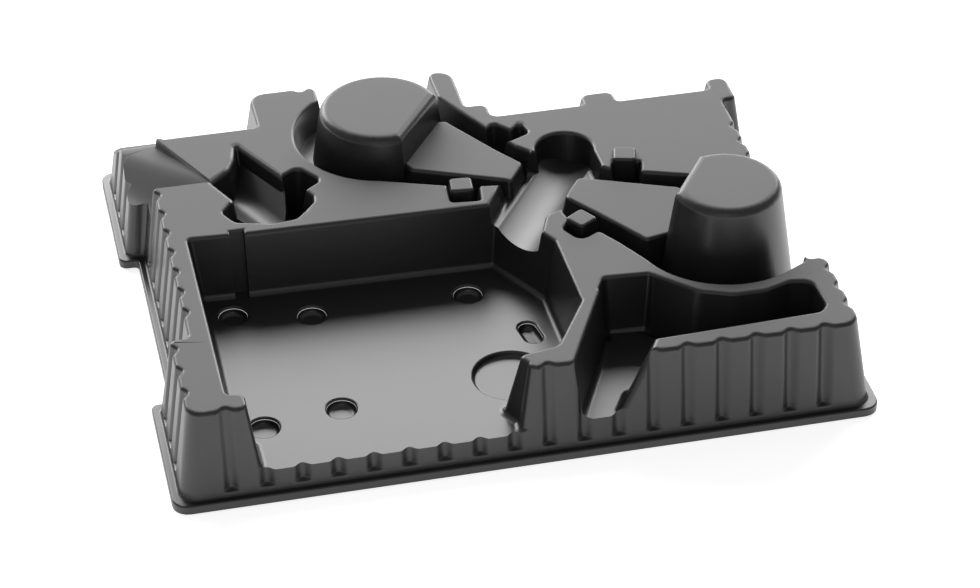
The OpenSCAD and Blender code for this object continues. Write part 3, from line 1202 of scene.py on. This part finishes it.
        def ring(h: float, shift: float) -> Points:
            """Plan points at a height, moved inward by a shift."""
            middle = np.array(at) - reach + (z.deck - h) * drift
            arc = middle + unit * (z.exit_radius - s * z.wall_scale + shift)
            return np.vstack([(middle + 1.7 * reach)[None, :], arc])

        return self._cutter(ring, floor, s)

    def _cradle(self, s: float) -> list[Solid]:
        """Cutters of the cradle and its finger notches.

        Args:
            s: Depth below the outer skin, nought for that skin itself.

        Returns:
            The cutters.
        """
        z, p = self.sizes, self.plan
        pipe = self._pipe(
            (77, 210.5, z.cradle_floor - 1.5 + z.cradle_bottom),
            -64,
            z.cradle_bottom + s,
            z.cradle_lean,
        )
        hollow = self._pocket(p.cradle(), z.cradle_floor - SPARE, s, self.rounding.cradle).keep(pipe)
        return [hollow] + [self._pocket(n, z.notch_floor, s) for n in p.notches()]

    def _corner_ramp(self, s: float) -> Solid:
        """Cutter above the low corner, with a soft step along the deck beside it.

        Args:
            s: Depth below the outer skin, nought for that skin itself.

        Returns:
            The cutter.
        """
        deck, grow, low = self.sizes.deck, 1.2 * s, self.low_corner
        step = np.array(low.step)
        around = ((0, 0), (1, 0), (-1, 0), (0, 1), (0, -1))
        grid = []
        for k, y in enumerate(low.rows()):
            edge = low.edge(y)
            x = np.linspace(low.outside, edge + grow, 44)
            near = [
                low.height(x + grow * u, np.full_like(x, y + grow * v), deck) for u, v in around
            ]
            drop = deck - low.height(np.array([edge]), np.array([y]), deck)[0]
            x = np.append(x, edge + grow + low.step_width * step[:, 0])
            z = np.append(np.min(near, axis=0), deck - drop * step[:, 1]) - grow
            grid.append(np.column_stack([x, np.full_like(x, y - grow if k == 0 else y), z]))
        return Solid.above(np.array(grid), deck + CLEAR)

    def _dish(
        self, spots: Sequence[Pair], radius: float, depth: float, s: float
    ) -> Solid:
        """Cutter of one dimple, round or drawn out between two spots.

        The inner skin's cutter goes straight up from its lowest ring instead of
        widening like the outer one, which leaves a narrow gap in the sheet round
        the rim of each small dimple.

        Args:
            spots: One plan place, or both ends of a drawn out dimple.
            radius: Radius at the tray floor.
            depth: Depth below the tray floor.
            s: Depth below the outer skin, nought for that skin itself.

        Returns:
            The cutter.
        """
        z = self.sizes
        spots_np = np.array(spots, float)
        angles = np.linspace(0, 2 * math.pi, 48, endpoint=False)
        unit = np.column_stack([np.cos(angles), np.sin(angles)])
        if len(spots_np) == 1:
            centres = np.repeat(spots_np, len(unit), axis=0)
        else:
            axis = spots_np[1] - spots_np[0]
            side = unit @ axis > 0
            centres = np.where(side[:, None], spots_np[1], spots_np[0])
        floor = z.tray_floor - depth

        def ring(h: float, shift: float) -> Points:
            """Plan points at a height, moved inward by a shift."""
            r = radius - (z.tray_floor - h - s) * z.dimple_rate + s - shift
            return centres + unit * r

        rings = Profile.pocket(
            ring,
            floor - s,
            z.tray_floor,
            self._soft(min(2.0, depth * 0.4), s),
            self._soft(self.rounding.dimple, s),
        )
        low = [r for r in rings if r[0] < z.tray_floor + 1]
        return Solid.from_rings(low + [(z.tray_floor + 5, low[-1][1])])

    def _dimples(self, s: float) -> list[Solid]:
        """Cutters of the dimples and the sink in the tray floor.

        Args:
            s: Depth below the outer skin, nought for that skin itself.

        Returns:
            The cutters.
        """
        z = self.sizes
        round_one = self._dish([(0, 0)], z.dimple_radius, z.dimple_depth, s)
        spots = [(98, 49, 0), (55, 42, 0), (54, 144, 0), (97, 135, 0), (186, 135, 0)]
        dishes = [self.pattern.build(round_one, spots)]
        dishes.append(self._dish([(213, 88), (211.5, 97)], 5.6, z.dimple_depth, s))
        dishes.append(self._dish([(193, 57)], z.sink_radius, z.sink_depth, s))
        return dishes

    def _pipe(
        self, centre: Triple, heading: float, radius: float, lean: float = 180.0
    ) -> Solid:
        """Long level bar that gives a hollow its round floor.

        Args:
            centre: Middle of the bar.
            heading: Direction of the bar in plan, degrees.
            radius: Radius of its bottom.
            lean: Angle at which the round bottom goes over into straight sides.

        Returns:
            The bar.
        """
        angles = np.radians(np.linspace(-lean, lean, 96, endpoint=lean < 180))
        section = radius * np.column_stack([np.cos(angles), np.sin(angles)])
        if lean < 180:
            rise = 60.0 * np.array([-math.sin(angles[-1]), math.cos(angles[-1])])
            ends = [section[-1] + rise, section[0] + rise * (1, -1)]
            section = np.vstack([section, ends])
        solid = Solid.from_rings([(-60.0, section), (60.0, section)])
        turn = Matrix.Rotation(math.radians(heading), 4, "Z") @ Matrix.Rotation(
            math.radians(90), 4, "Y"
        )
        solid.mesh.transform(Matrix.Translation(centre) @ turn)
        return solid


@dataclass
class FormedSheet:
    """The finished sheet: outer form without inner form, in the row frame."""

    sizes: TraySizes = field(default_factory=TraySizes)
    rounding: Rounding = field(default_factory=Rounding)
    # Below this depth under the deck, over this run, the dull finish and the painted lighter top
    # colour give way to the smooth dark one
    matte_lit_depth: float = 3.5
    matte_lit_run: float = 6.0
    level_up: float = 0.985
    ramp_up: float = 0.85
    up_run: float = 0.12
    ramp_from: Triple = (-132.0, 61.0, 24.0)

    def build(self, material: bpy.types.Material) -> bpy.types.Object:
        """Args:
            material: The finish of the sheet.

        Returns:
            The piece that stands for the solid part.
        """
        form = TrayForm(self.sizes, self.rounding, Pattern("repeat", material))
        sheet = form.build(Skin.OUTER).cut(form.build(Skin.INNER))
        mesh = sheet.mesh
        mesh.name = "formed_sheet"
        shift = Matrix.Translation((-self.sizes.width / 2, -self.sizes.depth / 2, 0))
        mesh.transform(Matrix.Scale(0.001, 4) @ shift)
        self._shade(mesh)
        mesh.materials.clear()
        mesh.materials.append(material)
        piece = placed("formed_sheet", mesh)
        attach(piece, BODY)
        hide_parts(NODE)
        LOG.info("sheet has %d triangles", sum(len(p.vertices) - 2 for p in mesh.polygons))
        return piece

    def _shade(self, mesh: bpy.types.Mesh) -> None:
        """Joins near points and sets the normals and the map of finish and painted top light.

        Args:
            mesh: The sheet's mesh.
        """
        bm = bmesh.new()
        bm.from_mesh(mesh)
        bmesh.ops.remove_doubles(bm, verts=bm.verts, dist=2e-6)
        bmesh.ops.dissolve_degenerate(bm, edges=bm.edges, dist=1e-6)
        bmesh.ops.triangulate(bm, faces=[f for f in bm.faces if len(f.verts) > 4])
        bm.to_mesh(mesh)
        bm.free()
        Shading.soften(mesh, math.radians(32))
        self._stretch_and_top_light(mesh)

    def _stretch_and_top_light(self, mesh: bpy.types.Mesh) -> None:
        """Notes at each corner a map worked out from the corner's tilt and height: nought on the
        level tops near the deck, one on tilted and deeper faces. It sets the dull or smooth finish
        and paints the level tops lighter, as painted light.

        Args:
            mesh: The sheet's mesh.
        """
        count = len(mesh.loops)
        normal = np.zeros(count * 3, np.float32)
        mesh.corner_normals.foreach_get("vector", normal)
        owner = np.zeros(count, np.int32)
        mesh.loops.foreach_get("vertex_index", owner)
        co = np.zeros(len(mesh.vertices) * 3, np.float32)
        mesh.vertices.foreach_get("co", co)
        x, y, z = (co.reshape(-1, 3)[owner] * 1000).T
        up = normal.reshape(-1, 3)[:, 2]
        right, front, bottom = self.ramp_from
        below = np.clip((self.sizes.deck - self.matte_lit_depth - z) / self.matte_lit_run, 0.0, 1.0)
        tilt = np.clip((self.level_up - up) / self.up_run, 0.0, 1.0)
        # On the low corner's ramp, faces up to a steeper tilt keep the lighter top colour too:
        # painted light that keeps the ramp's tone even whatever its tilt
        ramp = (x < right) & (y > front) & (z > bottom)
        below[ramp] = 0.0
        tilt[ramp] = np.clip((self.ramp_up - up[ramp]) / self.up_run, 0.0, 1.0)
        # Besides the finish, this map paints the level tops near the deck lighter than the plastic's
        # own dark colour, as painted light
        layer = mesh.attributes.new("stretch_and_top_light", "FLOAT", "CORNER")
        layer.data.foreach_set("value", np.maximum(below, tilt).astype(np.float32))


class Shading:
    """Smooth normals, weighted so that wide flat faces stay flat."""

    @staticmethod
    def soften(mesh: bpy.types.Mesh, angle: float) -> None:
        """Sets corner normals averaged by face area across soft edges.

        Args:
            mesh: The mesh to shade.
            angle: Edges sharper than this stay hard.
        """
        owner = placed("soften", mesh)
        mesh.shade_smooth()
        mesh.set_sharp_from_angle(angle=angle)
        modifier = owner.modifiers.new("weigh", "WEIGHTED_NORMAL")
        modifier.mode = "FACE_AREA"
        modifier.weight = 50
        modifier.thresh = 0.01
        modifier.keep_sharp = True
        depsgraph = bpy.context.evaluated_depsgraph_get()
        fine = bpy.data.meshes.new_from_object(owner.evaluated_get(depsgraph))
        normals = np.zeros(len(fine.loops) * 3, np.float32)
        fine.corner_normals.foreach_get("vector", normals)
        bpy.data.objects.remove(owner)
        mesh.normals_split_custom_set(normals.reshape(-1, 3).tolist())
        bpy.data.meshes.remove(fine)


@dataclass(frozen=True)
class Gloss:
    """How one part of the sheet takes the light."""

    colour: Triple
    roughness: float
    specular: float


@dataclass(frozen=True)
class SatinSheetTopLight:
    """Dark plastic: fine and dull on the level tops, smooth on the tilted and deeper faces. The
    lighter colour of the level tops is painted light.
    """

    # The top colour is painted light: lighter than the plastic's own dark colour, for the even light
    # that the level tops catch; the drawn colour is the plastic's own
    top: Gloss = Gloss((0.11, 0.11, 0.112), 0.65, 0.3)
    drawn: Gloss = Gloss((0.014, 0.014, 0.0145), 0.34, 0.66)
    grain: float = 0.03

    def create(self) -> bpy.types.Material:
        """Builds the material.

        Returns:
            A node material in object coordinates.
        """
        material = bpy.data.materials.new("satin_sheet_top_light")
        material.use_nodes = True
        tree = material.node_tree
        new, link = tree.nodes.new, tree.links.new
        shader = tree.nodes["Principled BSDF"]
        shader.inputs["IOR"].default_value = 1.5
        stretch_and_top_light = new("ShaderNodeAttribute")
        stretch_and_top_light.attribute_name = "stretch_and_top_light"
        # Painted light: the map mixes the lighter top colour onto the level tops
        mix = new("ShaderNodeMix")
        mix.name = "colour"
        mix.data_type = "RGBA"
        mix.inputs["A"].default_value = (*self.top.colour, 1.0)
        mix.inputs["B"].default_value = (*self.drawn.colour, 1.0)
        link(stretch_and_top_light.outputs["Fac"], mix.inputs["Factor"])
        link(mix.outputs["Result"], shader.inputs["Base Color"])
        for label, low, high in (
            ("Roughness", self.top.roughness, self.drawn.roughness),
            ("Specular IOR Level", self.top.specular, self.drawn.specular),
        ):
            span = new("ShaderNodeMapRange")
            span.name = label
            span.inputs["To Min"].default_value = low
            span.inputs["To Max"].default_value = high
            link(stretch_and_top_light.outputs["Fac"], span.inputs["Value"])
            link(span.outputs["Result"], shader.inputs[label])
        place = new("ShaderNodeTexCoord")
        noise = new("ShaderNodeTexNoise")
        noise.inputs["Scale"].default_value = 700.0
        noise.inputs["Detail"].default_value = 2.0
        link(place.outputs["Object"], noise.inputs["Vector"])
        bump = new("ShaderNodeBump")
        bump.inputs["Strength"].default_value = self.grain
        bump.inputs["Distance"].default_value = 0.0002
        link(noise.outputs["Fac"], bump.inputs["Height"])
        link(bump.outputs["Normal"], shader.inputs["Normal"])
        return material


@dataclass(frozen=True)
class Lamp:
    """One soft area lamp aimed at the tray."""

    name: str
    place: Triple
    size: Pair
    radiance: float

    def create(self) -> bpy.types.Object:
        """Builds the lamp and aims it at the middle of the tray.

        Returns:
            The lamp.
        """
        data = bpy.data.lights.new(self.name, "AREA")
        data.shape = "RECTANGLE"
        data.size, data.size_y = self.size
        data.energy = self.radiance * self.size[0] * self.size[1] * math.pi
        lamp = placed(self.name, data)
        lamp.location = self.place
        aim = Vector((0, 0, 0.03)) - Vector(self.place)
        lamp.rotation_euler = aim.to_track_quat("-Z", "Y").to_euler()
        lamp.visible_camera = False
        return lamp


@dataclass
class Studio:
    """Camera, floor, lamps and world."""

    sizes: TraySizes
    focal_px: float = 3027.02
    pitch: float = 36.23
    yaw: float = 12.5
    roll: float = -0.22
    centre_px: Pair = (484.67, 293.55)
    corner_px: Pair = (174.32, 517.05)
    reach: float = 1.57491
    frame_px: tuple[int, int] = (980, 588)
    floor_size: float = 6.0
    floor_glow: float = 0.72
    world_light: float = 0.3

    def build(self) -> None:
        """Builds everything that isn't the object."""
        self._camera()
        self._floor()
        self._world()
        for lamp in (
            Lamp("back_sweep", (0.3, 3.2, 1.6), (6.0, 2.7), 7.0),
            Lamp("front_fill", (-0.5, -1.6, 0.9), (1.2, 0.8), 0.5),
        ):
            lamp.create()

    def _camera(self) -> None:
        """Camera fitted to the photograph's view."""
        data = bpy.data.cameras.new("camera")
        camera = placed("camera", data)
        bpy.context.scene.camera = camera
        width, height = self.frame_px
        data.sensor_width = 36.0
        data.lens = self.focal_px * 36.0 / width
        data.shift_x = (width / 2 - self.centre_px[0]) / width
        data.shift_y = -(height / 2 - self.centre_px[1]) / width
        data.clip_end = 50.0
        e, w, r = (math.radians(a) for a in (self.pitch, self.yaw, self.roll))
        ahead = Vector((math.sin(w) * math.cos(e), math.cos(w) * math.cos(e), -math.sin(e)))
        right = Vector((math.cos(w), -math.sin(w), 0))
        up = right.cross(ahead)
        side = right * math.cos(r) + up * math.sin(r)
        top = up * math.cos(r) - right * math.sin(r)
        dx = (self.corner_px[0] - self.centre_px[0]) / self.focal_px * self.reach
        dy = -(self.corner_px[1] - self.centre_px[1]) / self.focal_px * self.reach
        corner = Vector((-self.sizes.width / 2000, -self.sizes.depth / 2000, 0))
        place = corner - (side * dx + top * dy + ahead * self.reach)
        matrix = Matrix((side, top, -ahead)).transposed().to_4x4()
        matrix.translation = place
        camera.matrix_world = matrix

    def _floor(self) -> None:
        """Bright floor, a hair below the tray."""
        mesh = bpy.data.meshes.new("studio_floor")
        size = self.floor_size
        mesh.from_pydata(
            [(-size, -size, 0), (size, -size, 0), (size, size, 0), (-size, size, 0)],
            [],
            [(0, 1, 2, 3)],
        )
        floor = placed("studio_floor", mesh)
        floor.location.z = -0.0003
        material = bpy.data.materials.new("studio_floor")
        material.use_nodes = True
        shader = material.node_tree.nodes["Principled BSDF"]
        for label, value in (
            ("Base Color", (0.9, 0.9, 0.9, 1)), ("Emission Color", (1, 1, 1, 1)),
            ("Emission Strength", self.floor_glow), ("Roughness", 0.9),
            ("Specular IOR Level", 0.1),
        ):
            shader.inputs[label].default_value = value
        mesh.materials.append(material)

    def _world(self) -> None:
        """White surround, brighter to the camera than to the object."""
        scene = bpy.context.scene
        scene.view_settings.view_transform = "Standard"
        world = bpy.data.worlds.new("studio")
        scene.world = world
        world.use_nodes = True
        tree = world.node_tree
        plain = tree.nodes["Background"]
        plain.inputs["Color"].default_value = (1, 1, 1, 1)
        plain.inputs["Strength"].default_value = self.world_light
        seen = tree.nodes.new("ShaderNodeBackground")
        seen.inputs["Color"].default_value = (1, 1, 1, 1)
        seen.inputs["Strength"].default_value = 1.0
        path = tree.nodes.new("ShaderNodeLightPath")
        mix = tree.nodes.new("ShaderNodeMixShader")
        tree.links.new(path.outputs["Is Camera Ray"], mix.inputs[0])
        tree.links.new(plain.outputs[0], mix.inputs[1])
        tree.links.new(seen.outputs[0], mix.inputs[2])
        tree.links.new(mix.outputs[0], tree.nodes["World Output"].inputs[0])


def main() -> None:
    """Builds the sheet and the studio round it."""
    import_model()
    material = SatinSheetTopLight().create()
    sheet = FormedSheet()
    sheet.build(material)
    Studio(sheet.sizes).build()


if __name__ == "__main__":
    logging.basicConfig(level=logging.INFO)
    main()
